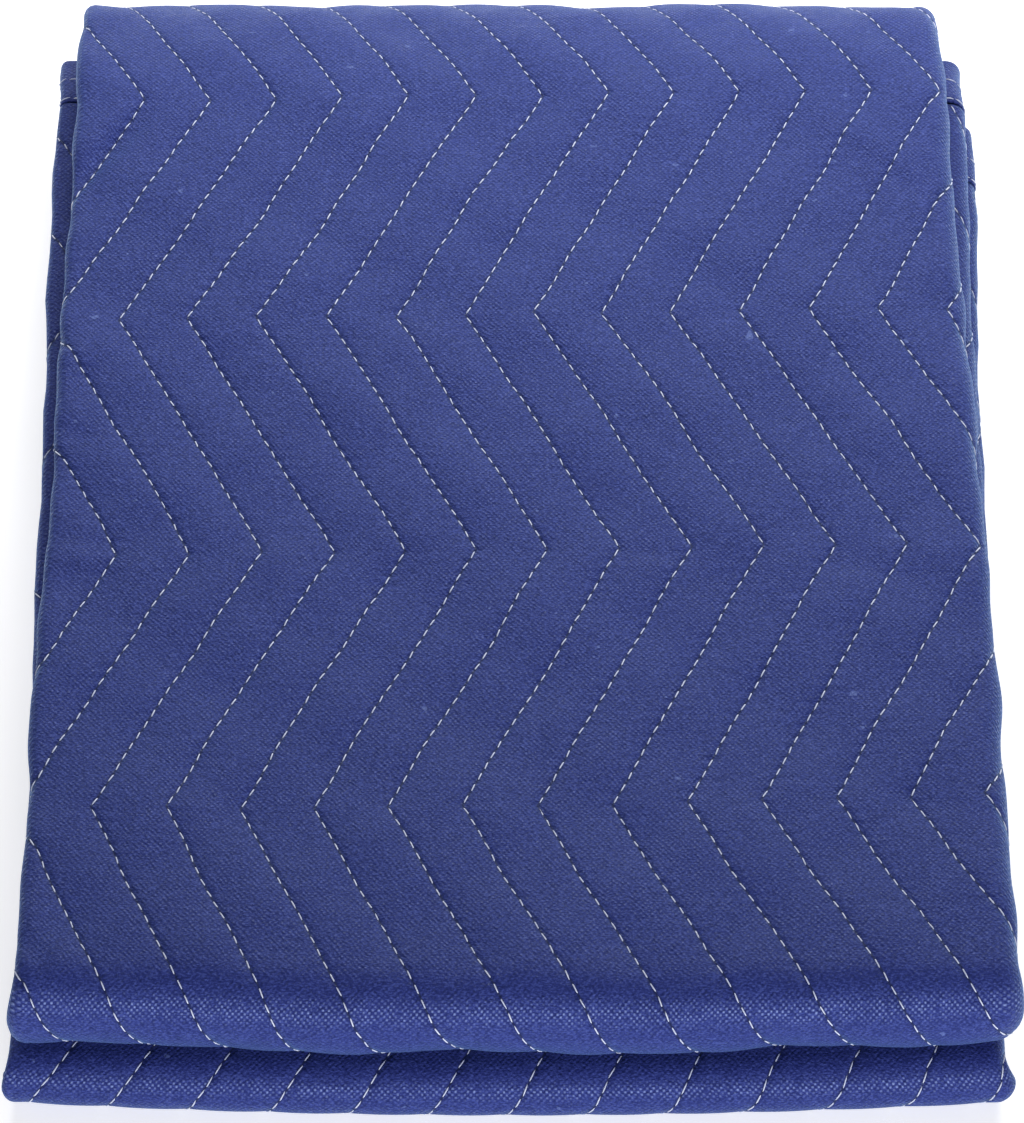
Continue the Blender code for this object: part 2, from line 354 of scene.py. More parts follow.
def creaseHeight(x, y):
    total = np.zeros(np.broadcast(x, y).shape)
    for x0, y0, x1, y1, halfWidth, height in creases:
        start, way = np.array([x0, y0]) * mm, np.array([x1 - x0, y1 - y0]) * mm
        length = np.hypot(*way)
        way = way / length
        along = ((x - start[0]) * way[0] + (y - start[1]) * way[1]) / length
        aside = ((x - start[0]) * way[1] - (y - start[1]) * way[0]) / (halfWidth * mm)
        fade = np.exp(-((np.clip(np.abs(along - 0.5) - 0.2, 0, None) / 0.3) ** 2))  # dies out past its ends
        total = total + height * mm * fade * np.exp(-(aside ** 2))
    return total


# the batting lies thicker and thinner: size in mm, wavelength along and across in mm, start
battingWaves = ((0.45, 148.0, 97.0, 0.9), (0.35, 71.0, -113.0, 2.6),
                (0.28, 47.0, 59.0, 5.1), (0.16, 31.0, -37.0, 1.7))


def relief(u, v):
    # how far the outer face stands off its plain surface
    share = lineShare(u, v)
    crown = (4 * share * (1 - share)) ** quilting["puffPower"]
    outerPly = smoothStep(u, edges[1], edges[2]) * smoothStep(-u, -edges[4], -edges[3])
    lipFade = quilting["lipFade"]
    free = smoothStep(v, starts["upperLip"] - lipFade, starts["upperLip"] + lipFade)
    free = free * (1 - smoothStep(v, starts["bottom"] - quilting["backFade"], starts["bottom"]))
    puff = (crown - quilting["puffLevel"]) * quilting["puff"]
    flat = (crown - 1) * quilting["flatPuff"]
    creased = creaseHeight(u - outerMiddle, v) + slantWaves(u, v, battingWaves)
    return flat + (puff + creased - flat) * outerPly * free


# sample sizes of the sheet's mesh in mm, for its outer face and then its inner one
# across: by run, from the first side edge; along: by layer
sheetMesh = {
    "across": ((20.0, 0.9, 2.5, 1.3, 11.0, 0.9, 20.0), (40.0, 2.2, 16.0, 2.4, 24.0, 2.2, 40.0)),
    "along": {
        "innerUpper": (11.0, 18.0),
        "upperLip": (2.3, 4.5),
        "top": (2.5, 15.0),
        "backRoll": (2.7, 4.5),
        "bottom": (9.0, 18.0),
        "lowerLip": (2.2, 4.5),
        "innerLower": (10.0, 18.0),
    },
}


def spread(places, sizes):
    # samples from place to place, each stretch at its own size
    samples = [np.linspace(a, b, max(1, round((b - a) / size)), endpoint=False)
               for a, b, size in zip(places[:-1], places[1:], sizes)]
    return np.concatenate(samples + [places[-1:]])


def sheetSamples(face):
    names = list(sheetMesh["along"])
    alongPlaces = np.array([starts[name] for name in names] + [starts["end"]])
    across = spread(edges, [size * mm for size in sheetMesh["across"][face]])
    along = spread(alongPlaces, [sheetMesh["along"][name][face] * mm for name in names])
    return across, along


def zipper(first, second, keysFirst, keysSecond):
    # triangles between two rows of vertices with different spacing
    faces = []
    i = j = 0
    while i < len(first) - 1 or j < len(second) - 1:
        if j == len(second) - 1 or (i < len(first) - 1 and keysFirst[i + 1] <= keysSecond[j + 1]):
            faces.append((first[i], first[i + 1], second[j]))
            i += 1
        else:
            faces.append((first[i], second[j + 1], second[j]))
            j += 1
    return faces


def makeMesh(name, points, faces, runUv=None, material=None):
    mesh = bpy.data.meshes.new(name)
    mesh.from_pydata((np.asarray(points) + shift).tolist(), [], [list(map(int, face)) for face in faces])
    if runUv is not None:
        layer = mesh.uv_layers.new(name="clothRun")
        loops = np.zeros(len(mesh.loops), np.int32)
        mesh.loops.foreach_get("vertex_index", loops)
        layer.data.foreach_set("uv", np.asarray(runUv, np.float32)[loops].ravel())
    mesh.shade_smooth()
    piece = bpy.data.objects.new(name, mesh)
    bpy.context.scene.collection.objects.link(piece)
    if material:
        mesh.materials.append(material)
    return piece


# the two bound ends
binding = {
    "width": 30.0 * mm,
    "cloth": 0.6 * mm,
    "gap": 0.35 * mm,
    "swellLength": 1.2 * mm,
    "rows": (17.5 * mm, 28.4 * mm),  # its two rows of stitching, from the bound edge
    "steps": (30.0, 29.7, 26.0, 22.0, 18.0, 12.0, 6.0, 2.0, 0.5, 0.0),  # its samples from the edge, mm
    "rounding": {0.0: 0.9 * mm, 0.5: 0.3 * mm, 30.0: 0.3 * mm},  # edges are drawn in, by sample
}


def sheetThinning(v):
    # how far the sheet's faces lie under the binding, and 0 elsewhere
    fromEnd = np.minimum(v - starts["innerUpper"], starts["end"] - v)
    under = 1 - smoothStep(fromEnd, binding["width"], binding["width"] + binding["swellLength"])
    return under * (binding["cloth"] + binding["gap"])


def quiltedSheet(material):
    points, uvs, faces, rims = [], [], [], []
    for face, side in ((0, 1), (1, -1)):
        across, along = sheetSamples(face)
        inset = binding["cloth"] + binding["gap"]
        along[0] += inset
        along[-1] -= inset
        thin = binding["width"] + np.array([0, binding["swellLength"]])
        along = np.unique(np.concatenate([along, starts["innerUpper"] + thin, starts["end"] - thin]))
        u, v = np.meshgrid(across, along)
        rise = relief(u, v) - sheetThinning(v) if side == 1 else sheetThinning(v)
        first = sum(len(p) for p in points)
        points.append(placeCloth(u, v, side, rise).reshape(-1, 3))
        uvs.append(np.stack([clothAcross(u, v), patternRun(v)], axis=-1).reshape(-1, 2))
        index = first + np.arange(u.size).reshape(u.shape)
        corners = [index[:-1, :-1], index[:-1, 1:], index[1:, 1:], index[1:, :-1]]
        quads = np.stack(corners, axis=-1).reshape(-1, 4)
        faces.extend(quads if side == 1 else quads[:, ::-1])
        rims.append([(index[0], across), (index[:, -1], along), (index[-1][::-1], -across[::-1]),
                     (index[:, 0][::-1], -along[::-1])])
    for outer, inner in zip(*rims):
        faces.extend(face[::-1] for face in zipper(outer[0], inner[0], outer[1], inner[1]))
    return makeMesh("quilted_sheet_cloth", np.vstack(points), faces, np.vstack(uvs), material)


def bindingStrip(name, atStart, material):
    # a strip of cloth folded over one end of the blanket and through its folds
    edge = starts["innerUpper"] if atStart else starts["end"]
    way = 1 if atStart else -1
    fromEdge = np.array(binding["steps"]) * mm
    fromWeb = np.maximum(fromEdge, binding["cloth"])
    outside = [(d, 1) for d in fromEdge] + [(d, -1) for d in fromEdge[::-1]]
    inside = [(d, -1) for d in fromWeb] + [(d, 1) for d in fromWeb[::-1]]
    across = sheetSamples(0)[0]
    rings = []
    for skin, path in enumerate((outside, inside)):
        for d, side in path:
            rise = -binding["cloth"] if skin else -binding["rounding"].get(round(d / mm, 2), 0.0)
            rings.append(placeCloth(across, edge + way * d, side, rise))
    points = np.stack(rings, axis=1)
    index = np.arange(points.shape[0] * points.shape[1]).reshape(points.shape[:2])
    ahead = np.roll(index, -1, axis=1)
    quads = np.stack([index[:-1], ahead[:-1], ahead[1:], index[1:]], axis=-1).reshape(-1, 4)
    ringCount = len(outside)
    caps = []
    for row, turned in ((index[0], False), (index[-1], True)):
        for i in range(ringCount - 1):
            quad = [row[i], row[i + 1], row[2 * ringCount - 2 - i], row[2 * ringCount - 1 - i]]
            caps.append(quad[::-1] if turned else quad)
    faces = list(quads) + caps
    uvAlong = np.array([way * d for d, _ in outside + inside])
    uv = np.stack(np.broadcast_arrays(across[:, None] - outerMiddle, uvAlong[None, :]), axis=-1)
    piece = makeMesh(name, points.reshape(-1, 3), faces, uv.reshape(-1, 2), material)
    facesOutward(piece)
    return piece


def facesOutward(piece):
    # turns a closed shell's faces to the outside
    shell = bmesh.new()
    shell.from_mesh(piece.data)
    bmesh.ops.recalc_face_normals(shell, faces=shell.faces)
    shell.to_mesh(piece.data)
    shell.free()


# sewing thread, laid stitch by stitch
stitches = {
    "pitch": 5.35 * mm,
    "length": 4.5 * mm,
    "thread": 0.48 * mm,
    "lift": 0.12 * mm,  # how far a stitch's middle lies over the cloth
    "bow": 0.34 * mm,
    "wobble": 0.12,
    "seed": 4,
    "fromEdge": 3.0 * mm,  # rows stop short of the cloth's side edges
    "shadedThread": (0.40, 0.46, 0.68),
    "paleThread": (0.72, 0.76, 0.92),
}


def lineMesh(name, lines):
    # loose edges along each line, with the cloth's outward direction at every point
    points, ups, links = [], [], []
    for line, up in lines:
        first = sum(len(p) for p in points)
        points.append(line)
        ups.append(up)
        links.extend((first + i, first + i + 1) for i in range(len(line) - 1))
    mesh = bpy.data.meshes.new(name)
    mesh.from_pydata((np.vstack(points) + shift).tolist(), links, [])
    up = mesh.attributes.new("surfaceUp", "FLOAT_VECTOR", "POINT")
    up.data.foreach_set("vector", np.vstack(ups).astype(np.float32).ravel())
    piece = bpy.data.objects.new(name, mesh)
    bpy.context.scene.collection.objects.link(piece)
    return piece


def clothUp(u, v, step=1.0 * mm):
    # which way the outer face looks
    acrossWay = placeCloth(u + step, v, 1) - placeCloth(u - step, v, 1)
    alongWay = placeCloth(u, v + step, 1) - placeCloth(u, v - step, 1)
    up = np.cross(acrossWay, alongWay)
    return up / np.maximum(np.linalg.norm(up, axis=-1, keepdims=True), 1e-12)


def zigzagLines(wanted, step=2.0 * mm):
    # the quilting rows, one line for each straight stretch, so that stitches meet at the points
    lines = []
    half = quilting["halfPeriod"]
    firstTurn = math.floor((starts["innerUpper"] - quilting["leftPoint"]) / half) - 1
    lastTurn = math.ceil((patternRun(starts["end"]) - quilting["leftPoint"]) / half) + 1
    hidden = binding["width"] + 2 * mm  # no quilting shows where the bindings lie
    ends = (starts["innerUpper"] + hidden, starts["end"] - hidden)
    runSamples = np.linspace(starts["innerUpper"], starts["end"], 3000)
    margin = stitches["fromEdge"]
    fewest = 4  # points in a line worth sewing
    for row in range(-30, 45):  # more rows than the cloth is wide
        base = quilting["firstLine"] + row * quilting["gauge"]
        for turn in range(firstTurn, lastTurn):
            swings = (0.0, quilting["swing"]) if turn % 2 == 0 else (quilting["swing"], 0.0)
            pEnds = base + np.array(swings)
            runEnds = quilting["leftPoint"] + half * np.array([turn, turn + 1]) + quilting["skew"] * pEnds
            share = stitches["pitch"] / 2 / np.hypot(half, quilting["swing"])
            along = np.linspace(share, 1 - share, int(half / step))
            p = pEnds[0] + (pEnds[1] - pEnds[0]) * along
            run = runEnds[0] + (runEnds[1] - runEnds[0]) * along
            v = np.interp(run, patternRun(runSamples), runSamples)
            inside = (run > patternRun(starts["innerUpper"])) & (v > ends[0]) & (v < ends[1])
            u = p + outerMiddle
            for _ in range(4):  # closes on the place that the pattern has there
                u = (p + slantWaves(u, v, quilting["strays"])) * widening(v) + outerMiddle
            keep = inside & wanted(u, v) & (u > margin) & (u < clothWidth - margin)
            cuts = np.flatnonzero(np.diff(np.concatenate([[0], keep.astype(int), [0]])))
            for a, b in zip(cuts[::2], cuts[1::2]):
                if b - a >= fewest:
                    up = clothUp(u[a:b], v[a:b])
                    line = placeCloth(u[a:b], v[a:b], 1, relief(u[a:b], v[a:b]))
                    lines.append((line + up * stitches["lift"], up))
    return lines


def node(tree, kind, **settings):
    made = tree.nodes.new(kind)
    for key, value in settings.items():
        setattr(made, key, value)
    return made


def stitchTree():
    # one stitch on every pitch of a line, lying along it on the cloth
    tree = bpy.data.node_groups.new("stitchRow", "GeometryNodeTree")
    face = tree.interface
    face.new_socket(name="Geometry", in_out="INPUT", socket_type="NodeSocketGeometry")
    for name in ("Pitch", "Length", "Thread", "Bow", "Wobble"):
        face.new_socket(name=name, in_out="INPUT", socket_type="NodeSocketFloat")
    face.new_socket(name="Seed", in_out="INPUT", socket_type="NodeSocketInt")
    face.new_socket(name="Material", in_out="INPUT", socket_type="NodeSocketMaterial")
    face.new_socket(name="Geometry", in_out="OUTPUT", socket_type="NodeSocketGeometry")
    link = tree.links.new
    given = node(tree, "NodeGroupInput")
    result = node(tree, "NodeGroupOutput")

    thread = node(tree, "GeometryNodeMeshCylinder")  # a short tapered barrel, bent down at both ends
    thread.inputs["Vertices"].default_value = 6
    thread.inputs["Side Segments"].default_value = 4
    thread.inputs["Radius"].default_value = 1.0
    thread.inputs["Depth"].default_value = 2.0
    place = node(tree, "GeometryNodeInputPosition")
    parts = node(tree, "ShaderNodeSeparateXYZ")
    link(place.outputs[0], parts.inputs[0])

    def calc(operation, a, b=None):
        made = node(tree, "ShaderNodeMath", operation=operation)
        for socket, value in zip(made.inputs, (a, b)):
            if value is None:
                continue
            if isinstance(value, (int, float)):
                socket.default_value = value
            else:
                link(value, socket)
        return made.outputs[0]

    along = parts.outputs["Z"]
    squared = calc("MULTIPLY", along, along)
    # blunt ends, a little thinner than the middle
    taper = calc("SQRT", calc("SUBTRACT", 1.12, calc("MULTIPLY", squared, squared)))
    radius = calc("MULTIPLY", calc("MULTIPLY", given.outputs["Thread"], 0.5), taper)
    drop = calc("MULTIPLY", calc("MULTIPLY", squared, squared), given.outputs["Bow"])
    shaped = node(tree, "ShaderNodeCombineXYZ")
    link(calc("MULTIPLY", along, calc("MULTIPLY", given.outputs["Length"], 0.5)), shaped.inputs["X"])
    link(calc("MULTIPLY", parts.outputs["Y"], radius), shaped.inputs["Y"])
    link(calc("SUBTRACT", calc("MULTIPLY", parts.outputs["X"], radius), drop), shaped.inputs["Z"])
    bend = node(tree, "GeometryNodeSetPosition")
    link(thread.outputs["Mesh"], bend.inputs["Geometry"])
    link(shaped.outputs[0], bend.inputs["Position"])

    curve = node(tree, "GeometryNodeMeshToCurve")
    link(given.outputs["Geometry"], curve.inputs["Mesh"])
    resample = node(tree, "GeometryNodeResampleCurve", mode="LENGTH")
    link(curve.outputs[0], resample.inputs["Curve"])
    link(given.outputs["Pitch"], resample.inputs["Length"])
    up = node(tree, "GeometryNodeInputNamedAttribute", data_type="FLOAT_VECTOR")
    up.inputs["Name"].default_value = "surfaceUp"
    tangent = node(tree, "GeometryNodeInputTangent")
    turn = node(tree, "FunctionNodeAxesToRotation", primary_axis="Z", secondary_axis="X")
    link(up.outputs[0], turn.inputs["Primary Axis"])
    link(tangent.outputs[0], turn.inputs["Secondary Axis"])
    chance = node(tree, "FunctionNodeRandomValue", data_type="FLOAT_VECTOR")
    for socket in chance.inputs:
        if socket.name == "Seed":
            link(given.outputs["Seed"], socket)
    lowest = node(tree, "ShaderNodeCombineXYZ")
    highest = node(tree, "ShaderNodeCombineXYZ")
    link(calc("MULTIPLY", given.outputs["Wobble"], -1.0), lowest.inputs["Z"])
    link(given.outputs["Wobble"], highest.inputs["Z"])
    link(lowest.outputs[0], chance.inputs[0])
    link(highest.outputs[0], chance.inputs[1])
    sway = node(tree, "FunctionNodeEulerToRotation")
    link(chance.outputs[0], sway.inputs[0])
    both = node(tree, "FunctionNodeRotateRotation", rotation_space="LOCAL")
    link(turn.outputs[0], both.inputs[0])
    link(sway.outputs[0], both.inputs[1])
    scatter = node(tree, "GeometryNodeInstanceOnPoints")
    link(resample.outputs[0], scatter.inputs["Points"])
    link(bend.outputs[0], scatter.inputs["Instance"])
    link(both.outputs[0], scatter.inputs["Rotation"])
    real = node(tree, "GeometryNodeRealizeInstances")
    smooth = node(tree, "GeometryNodeSetShadeSmooth")
    paint = node(tree, "GeometryNodeSetMaterial")
    link(scatter.outputs[0], smooth.inputs[0])
    link(smooth.outputs[0], real.inputs[0])
    link(real.outputs[0], paint.inputs["Geometry"])
    link(given.outputs["Material"], paint.inputs["Material"])
    link(paint.outputs[0], result.inputs[0])
    return tree


def sewRows(name, lines, tree, material):
    # stitches on the lines as one plain mesh
    rows = lineMesh(name + "_rows", lines)
    modifier = rows.modifiers.new("stitchRow", "NODES")
    modifier.node_group = tree
    values = {key: stitches[key.lower()] for key in ("Pitch", "Length", "Thread", "Bow", "Wobble", "Seed")}
    values["Material"] = material
    for item in tree.interface.items_tree:
        if item.in_out == "INPUT" and item.name in values:
            modifier[item.identifier] = values[item.name]
    bpy.context.view_layer.update()
    evaluated = rows.evaluated_get(bpy.context.evaluated_depsgraph_get())
    mesh = bpy.data.meshes.new_from_object(evaluated)
    mesh.name = name
    rows.modifiers.remove(modifier)
    bpy.data.objects.remove(rows)
    piece = bpy.data.objects.new(name, mesh)
    bpy.context.scene.collection.objects.link(piece)
    print(name, "has", len(mesh.polygons), "faces")
    return piece


clothLook = {
    "colour": (0.0155, 0.0222, 0.158),
    "paleColour": (0.031, 0.045, 0.228),
    "deepColour": (0.0085, 0.013, 0.106),
    "brightFibre": (0.046, 0.066, 0.275),
    "darkFibre": (0.0055, 0.009, 0.082),
    "paintedHighlightColour": (0.20, 0.26, 0.56),  # painted highlight: dots of the weave lit bright along the front folds
    "paintedHighlight": 0.85,
    "grain": 0.85,  # how strongly the yarns vary
    "dotAcross": 1.916 * mm,
    "dotAlong": 2.246 * mm,
    "dotHeight": 0.11 * mm,
    "roughness": (0.72, 0.34),  # between the dots of the weave, and on them
    "roughContrast": 1.6,
    "sheen": 0.38,
    "sheenRoughness": 0.4,
    "sheenTint": (0.30, 0.58, 1.0, 1),
    "specular": 0.27,
    "specularTint": (0.45, 0.60, 1.0, 1),
    # noises over the cloth: scale, detail, roughness
    "warp": (90.0, 2.0, 0.55),
    "yarn": (420.0, 2.0, 0.6),
    "fibres": (1100.0, 2.0, 0.7),
    "creases": (38.0, 3.0, 0.6),
    "patches": (14.0, 3.0, 0.6),
    "specks": (1700.0, 1.0, 0.7),
    "lint": (210.0, 1.0, 0.4),
    # what they do
    "warpSize": 1.6 * mm,
    "yarnContrast": (3.6, -1.1),
    "fibreHeight": 0.42 * mm,
    "creaseHeight": 1.0 * mm,
    "speckContrast": (7.0, 3.55),
    "speckStretch": (0.5, 1.0, 1.0),  # fibres lie more across the cloth than along it
    "lintLevel": 0.80,
    "lintAmount": 0.35,
    "lintColour": (0.16, 0.22, 0.52),
    "dotTint": (0.09, 0.20),
    "grooveDepth": 0.55 * mm,
    "grooveWidth": 1.3 * mm,
    "stitchShadowWidth": 0.42 * mm,  # width of the painted shadow along a row between stitches, where needle punctures and the pulled thread sink the cloth
    "pucker": 0.10 * mm,
    "puckerReach": 3.2 * mm,
    "grooveShade": 0.25,
    # painted shadow along a quilting row: its share and its colour
    "stitchShadowShare": 0.85,
    "stitchShadowColour": (0.008, 0.010, 0.040),
}

# where a highlight is painted along the front folds, in the pattern's own length, and how far
paintedHighlightBands = ((patternRun(0.31 * starts["upperLip"]), 4.4 * mm),
              (patternRun(0.31 * starts["lowerLip"] + 0.69 * starts["innerLower"]), 2.9 * mm))


def shaderMath(tree, operation, a, b=None, c=None):
    made = tree.nodes.new("ShaderNodeMath")
    made.operation = operation
    for socket, value in zip(made.inputs, (a, b, c)):
        if value is None:
            continue
        if isinstance(value, (int, float)):
            socket.default_value = value
        else:
            tree.links.new(value, socket)
    return made.outputs[0]


def mixColour(tree, amount, first, second):
    made = tree.nodes.new("ShaderNodeMix")
    made.data_type = "RGBA"
    for socket, value in ((made.inputs[0], amount), (made.inputs[6], first), (made.inputs[7], second)):
        if hasattr(value, "is_output"):
            tree.links.new(value, socket)
        elif isinstance(value, tuple):
            socket.default_value = (*value, 1)
        else:
            socket.default_value = value
    return made.outputs[2]


def noiseOn(tree, vector, scale, detail=3.0, rough=0.55):
    made = tree.nodes.new("ShaderNodeTexNoise")
    made.inputs["Scale"].default_value = scale
    made.inputs["Detail"].default_value = detail
    made.inputs["Roughness"].default_value = rough
    tree.links.new(vector, made.inputs["Vector"])
    return made.outputs["Fac"]


def clothMaterial(name, look, quilted):
    material = bpy.data.materials.new(name)
    material.use_nodes = True
    tree = material.node_tree
    link = tree.links.new
    shader = tree.nodes["Principled BSDF"]
    run = tree.nodes.new("ShaderNodeUVMap")
    run.uv_map = "clothRun"
    split = tree.nodes.new("ShaderNodeSeparateXYZ")
    link(run.outputs[0], split.inputs[0])
    across, along = split.outputs[0], split.outputs[1]
    place = tree.nodes.new("ShaderNodeTexCoord").outputs["Object"]

    def calc(*given):
        return shaderMath(tree, *given)

    def bell(value):
        return calc("EXPONENT", calc("MULTIPLY", value, -1.0))

    # the weave's dots, on yarns that run uneven
    warp = calc("MULTIPLY", calc("SUBTRACT", noiseOn(tree, place, *look["warp"]), 0.5), look["warpSize"])
    dotsAcross = calc("COSINE", calc("MULTIPLY", calc("ADD", across, warp), 2 * math.pi / look["dotAcross"]))
    dotsAlong = calc("COSINE", calc("MULTIPLY", calc("ADD", along, warp), 2 * math.pi / look["dotAlong"]))
    yarn = calc("MULTIPLY_ADD", noiseOn(tree, place, *look["yarn"]), *look["yarnContrast"])
    dots = calc("MULTIPLY", calc("MULTIPLY", dotsAcross, dotsAlong), yarn)
    fibres = calc("SUBTRACT", noiseOn(tree, place, *look["fibres"]), 0.5)
    creases = calc("SUBTRACT", noiseOn(tree, place, *look["creases"]), 0.5)
    height = calc("MULTIPLY", dots, look["dotHeight"])
    height = calc("ADD", height, calc("MULTIPLY", fibres, look["fibreHeight"]))
    height = calc("ADD", height, calc("MULTIPLY", creases, look["creaseHeight"]))

    # paler and darker patches, fibres and lint
    patches = noiseOn(tree, place, *look["patches"])
    colour = mixColour(tree, patches, look["deepColour"], look["paleColour"])
    colour = mixColour(tree, 0.5, colour, look["colour"])
    lying = tree.nodes.new("ShaderNodeMapping")
    lying.inputs["Scale"].default_value = look["speckStretch"]
    link(place, lying.inputs["Vector"])
    specks = noiseOn(tree, lying.outputs[0], *look["specks"])
    steep, level = look["speckContrast"]
    dark = calc("MAXIMUM", 0.0, calc("MULTIPLY_ADD", specks, -steep, level))
    dark = calc("MULTIPLY", calc("SMOOTH_MIN", 1.0, dark, 0.1), look["grain"])
    colour = mixColour(tree, dark, colour, look["darkFibre"])
    light = calc("MAXIMUM", 0.0, calc("MULTIPLY_ADD", specks, steep, -level))
    colour = mixColour(tree, calc("MULTIPLY", light, look["grain"]), colour, look["brightFibre"])
    colour = mixColour(tree, calc("MULTIPLY_ADD", dots, *look["dotTint"]), colour, look["paleColour"])
    lint = calc("GREATER_THAN", noiseOn(tree, place, *look["lint"]), look["lintLevel"])
    colour = mixColour(tree, calc("MULTIPLY", lint, look["lintAmount"]), colour, look["lintColour"])

    if quilted:
        # painted highlight: the weave's dots turn pale in bands along the front folds
        highlightBand = 0.0
        for middle, reach in paintedHighlightBands:
            off = calc("DIVIDE", calc("SUBTRACT", along, middle), reach)
            highlightBand = calc("ADD", highlightBand, bell(calc("MULTIPLY", off, off)))
        paintedHighlight = calc("MULTIPLY", calc("MAXIMUM", 0.0, dots), calc("MULTIPLY", highlightBand, look["paintedHighlight"]))
        colour = mixColour(tree, calc("MINIMUM", paintedHighlight, 0.9), colour, look["paintedHighlightColour"])

        # how far a place is from the nearest quilting row
        skewed = calc("MULTIPLY", across, quilting["skew"])
        turns = calc("DIVIDE", calc("SUBTRACT", calc("SUBTRACT", along, quilting["leftPoint"]), skewed),
                     quilting["halfPeriod"])
        tooth = calc("ABSOLUTE", calc("SUBTRACT", 1.0, calc("FLOORED_MODULO", turns, 2.0)))
        tooth = calc("SUBTRACT", 1.0, tooth)
        line = calc("SUBTRACT", calc("SUBTRACT", across, calc("MULTIPLY", tooth, quilting["swing"])),
                    quilting["firstLine"])
        part = calc("FLOORED_MODULO", calc("ADD", calc("DIVIDE", line, quilting["gauge"]), 0.5), 1.0)
        slant = math.cos(math.atan(quilting["swing"] / quilting["halfPeriod"]))
        aside = calc("MULTIPLY", calc("ABSOLUTE", calc("SUBTRACT", part, 0.5)), quilting["gauge"] * slant)

        # the groove a row lies in with its painted shade, the cloth gathered beside its stitches, and the
        # painted shadow along the row
        near = bell(calc("POWER", calc("DIVIDE", aside, look["grooveWidth"]), 2.0))
        wide = bell(calc("DIVIDE", aside, look["puckerReach"]))
        ripples = calc("SINE", calc("MULTIPLY", along, 2 * math.pi / (stitches["pitch"] * slant)))
        height = calc("SUBTRACT", height, calc("MULTIPLY", near, look["grooveDepth"]))
        height = calc("ADD", height, calc("MULTIPLY", calc("MULTIPLY", wide, ripples), look["pucker"]))
        colour = mixColour(tree, calc("MULTIPLY", near, look["grooveShade"]), colour, look["deepColour"])
        # painted shadow: a dark line along the row, where needle punctures and the pulled thread sink the
        # cloth
        stitchShadow = bell(calc("POWER", calc("DIVIDE", aside, look["stitchShadowWidth"]), 2.0))
        colour = mixColour(tree, calc("MULTIPLY", stitchShadow, look["stitchShadowShare"]), colour, look["stitchShadowColour"])

    bump = tree.nodes.new("ShaderNodeBump")
    bump.inputs["Strength"].default_value = 1.0
    bump.inputs["Distance"].default_value = 1.0
    link(height, bump.inputs["Height"])
    link(bump.outputs[0], shader.inputs["Normal"])
    link(colour, shader.inputs["Base Color"])
    matt, bright = look["roughness"]
    onDots = calc("MINIMUM", 1.0, calc("MAXIMUM", 0.0, calc("MULTIPLY", dots, look["roughContrast"])))
    link(calc("MULTIPLY_ADD", onDots, bright - matt, matt), shader.inputs["Roughness"])
    shader.inputs["Sheen Weight"].default_value = look["sheen"]
    shader.inputs["Sheen Roughness"].default_value = look["sheenRoughness"]
    shader.inputs["Sheen Tint"].default_value = look["sheenTint"]
    shader.inputs["Specular IOR Level"].default_value = look["specular"]
    shader.inputs["Specular Tint"].default_value = look["specularTint"]
    return material


def threadMaterial():
    material = bpy.data.materials.new("white_polyester_thread")
    material.use_nodes = True
    tree = material.node_tree
    shader = tree.nodes["Principled BSDF"]
    place = tree.nodes.new("ShaderNodeTexCoord").outputs["Object"]
    tone = noiseOn(tree, place, 240.0, 2.0)
    colour = mixColour(tree, tone, stitches["shadedThread"], stitches["paleThread"])
    tree.links.new(colour, shader.inputs["Base Color"])
    twist = noiseOn(tree, place, 4200.0, 1.0)
    bump = tree.nodes.new("ShaderNodeBump")
    bump.inputs["Distance"].default_value = 0.1 * mm
    tree.links.new(twist, bump.inputs["Height"])
    tree.links.new(bump.outputs[0], shader.inputs["Normal"])
    shader.inputs["Roughness"].default_value = 0.5
    shader.inputs["Sheen Weight"].default_value = 0.1
    return material


def floorMaterial(glow):
    material = bpy.data.materials.new("pale_floor")
    material.use_nodes = True
    shader = material.node_tree.nodes["Principled BSDF"]
    shader.inputs["Base Color"].default_value = (0.93, 0.93, 0.93, 1)
    shader.inputs["Roughness"].default_value = 0.9
    shader.inputs["Specular IOR Level"].default_value = 0.1
    shader.inputs["Emission Color"].default_value = (1, 1, 1, 1)
    shader.inputs["Emission Strength"].default_value = glow
    return material


clothMade = clothMaterial("blue_quilted_cloth", clothLook, True)
bindingLook = dict(clothLook, roughness=(0.66, 0.36))
bindingMade = clothMaterial("dark_blue_binding", bindingLook, False)
threadMade = threadMaterial()

sheetPiece = quiltedSheet(clothMade)
print("sheet made:", len(sheetPiece.data.polygons), "faces")
bindingPieces = {
    "binding_upper_end": bindingStrip("binding_upper_end_strip", True, bindingMade),
    "binding_lower_end": bindingStrip("binding_lower_end_strip", False, bindingMade),
}
print("bindings made")

stitchRow = stitchTree()

# how far rows of stitches go on past what is seen
nearTurn = 16.0 * mm
pastLip = 30.0 * mm
pastPly = 2.0 * mm


def onTop(u, v):
    return ((v > starts["upperLip"] - pastLip) & (v < starts["bottom"])
            & (u > edges[1] - pastPly) & (u < edges[4] + nearTurn))


def underneath(u, v):
    return ((v >= starts["bottom"]) & (v < starts["innerLower"] + pastLip)
            & (u > edges[1] - pastPly) & (u < edges[4] + nearTurn))


def atSides(u, v):
    seen = (u > edges[4] - nearTurn) & (u < edges[4] + nearTurn)
    seen = seen | ((u > edges[5] - nearTurn) & (u < edges[6]))
    seen = seen | ((u > edges[1]) & (u < edges[2] + nearTurn))
    seen = seen | ((u > edges[3] - nearTurn) & (u < edges[4]))
    return seen & ~onTop(u, v) & ~underneath(u, v)


sewn = [
    sewRows("quilting_stitches_top", zigzagLines(onTop), stitchRow, threadMade),
    sewRows("quilting_stitches_under", zigzagLines(underneath), stitchRow, threadMade),
    sewRows("quilting_stitches_sides", zigzagLines(atSides), stitchRow, threadMade),
]


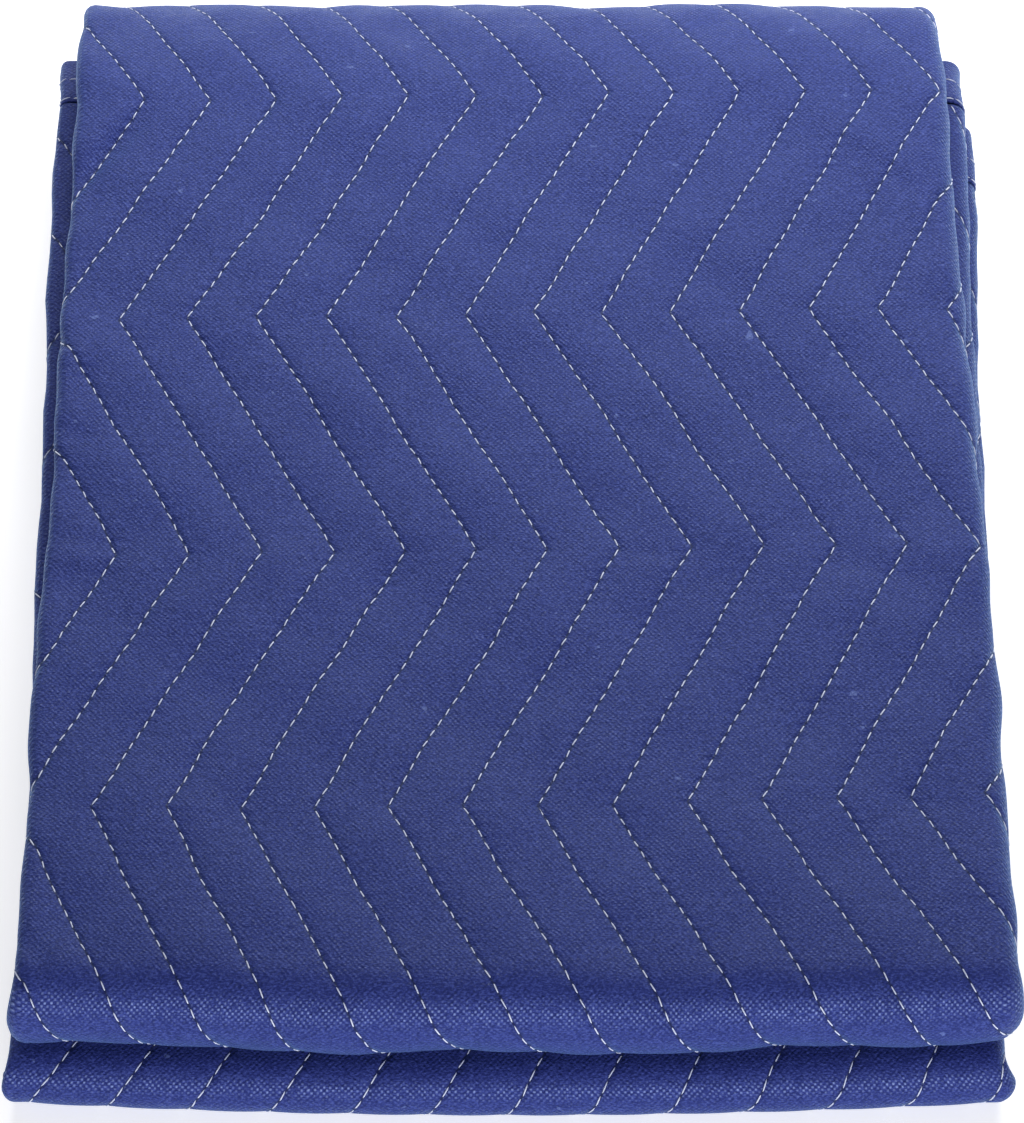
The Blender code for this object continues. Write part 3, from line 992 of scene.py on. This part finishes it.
def bindingLines(step=1.5 * mm):
    # two straight rows along each bound end
    lines = []
    u = np.arange(stitches["fromEdge"], clothWidth - stitches["fromEdge"], step)
    for edge, way in ((starts["innerUpper"], 1), (starts["end"], -1)):
        for row in binding["rows"]:
            v = np.full(u.shape, edge + way * row)
            lines.append((placeCloth(u, v, 1, stitches["lift"]), clothUp(u, v)))
    return lines


sewn.append(sewRows("binding_stitches", bindingLines(), stitchRow, threadMade))
print("stitching done")

# floor, lights and camera
studio = {
    "floorSize": 12.0,
    "aimBack": 0.1724,  # what the camera looks at, back from the front and up from the floor
    "aimUp": 0.0546,
    "viewDown": 49.0,  # degrees
    "viewDistance": 1.977,
    "lens": 183.0,
    # power, place, size
    "topLight": (17.0, (0.15, 0.80, 0.62), (1.3, 0.4)),
    "frontLight": (34.0, (0.3, -1.9, 0.50), (2.2, 0.35)),
    "sky": 0.15,
    "floorGlow": 0.5,
}

floorMesh = bpy.data.meshes.new("floor")
reach = studio["floorSize"] / 2
floorCorners = [(-reach, -reach, 0), (reach, -reach, 0), (reach, reach, 0), (-reach, reach, 0)]
floorMesh.from_pydata(floorCorners, [], [(0, 1, 2, 3)])
floorMesh.materials.append(floorMaterial(studio["floorGlow"]))
floor = bpy.data.objects.new("floor", floorMesh)
bpy.context.scene.collection.objects.link(floor)

aim = Vector((shift[0], studio["aimBack"] + shift[1], studio["aimUp"]))
for name in ("topLight", "frontLight"):
    power, position, size = studio[name]
    lamp = bpy.data.lights.new(name, "AREA")
    lamp.shape = "RECTANGLE"
    lamp.size, lamp.size_y = size
    lamp.energy = power
    lampObject = bpy.data.objects.new(name, lamp)
    lampObject.location = position
    lampObject.rotation_euler = (aim - Vector(position)).to_track_quat("-Z", "Y").to_euler()
    bpy.context.scene.collection.objects.link(lampObject)

world = bpy.data.worlds.new("studioSky")
world.use_nodes = True
world.node_tree.nodes["Background"].inputs["Color"].default_value = (1, 1, 1, 1)
world.node_tree.nodes["Background"].inputs["Strength"].default_value = studio["sky"]
bpy.context.scene.world = world
bpy.context.scene.view_settings.view_transform = "Standard"

down = math.radians(studio["viewDown"])
camera = bpy.data.cameras.new("camera")
camera.lens = studio["lens"]
camera.sensor_width = 36.0
camera.clip_end = 50.0
cameraObject = bpy.data.objects.new("camera", camera)
cameraObject.location = aim + studio["viewDistance"] * Vector((0, -math.cos(down), math.sin(down)))
cameraObject.rotation_euler = (math.radians(90) - down, 0, 0)
bpy.context.scene.collection.objects.link(cameraObject)
bpy.context.scene.camera = cameraObject

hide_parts("quilted_sheet")
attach(sheetPiece, "root")
for solid, piece in bindingPieces.items():
    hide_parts(solid)
    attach(piece, "root")
for piece in sewn:
    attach(piece, "root")
print("floor, lights and camera set")
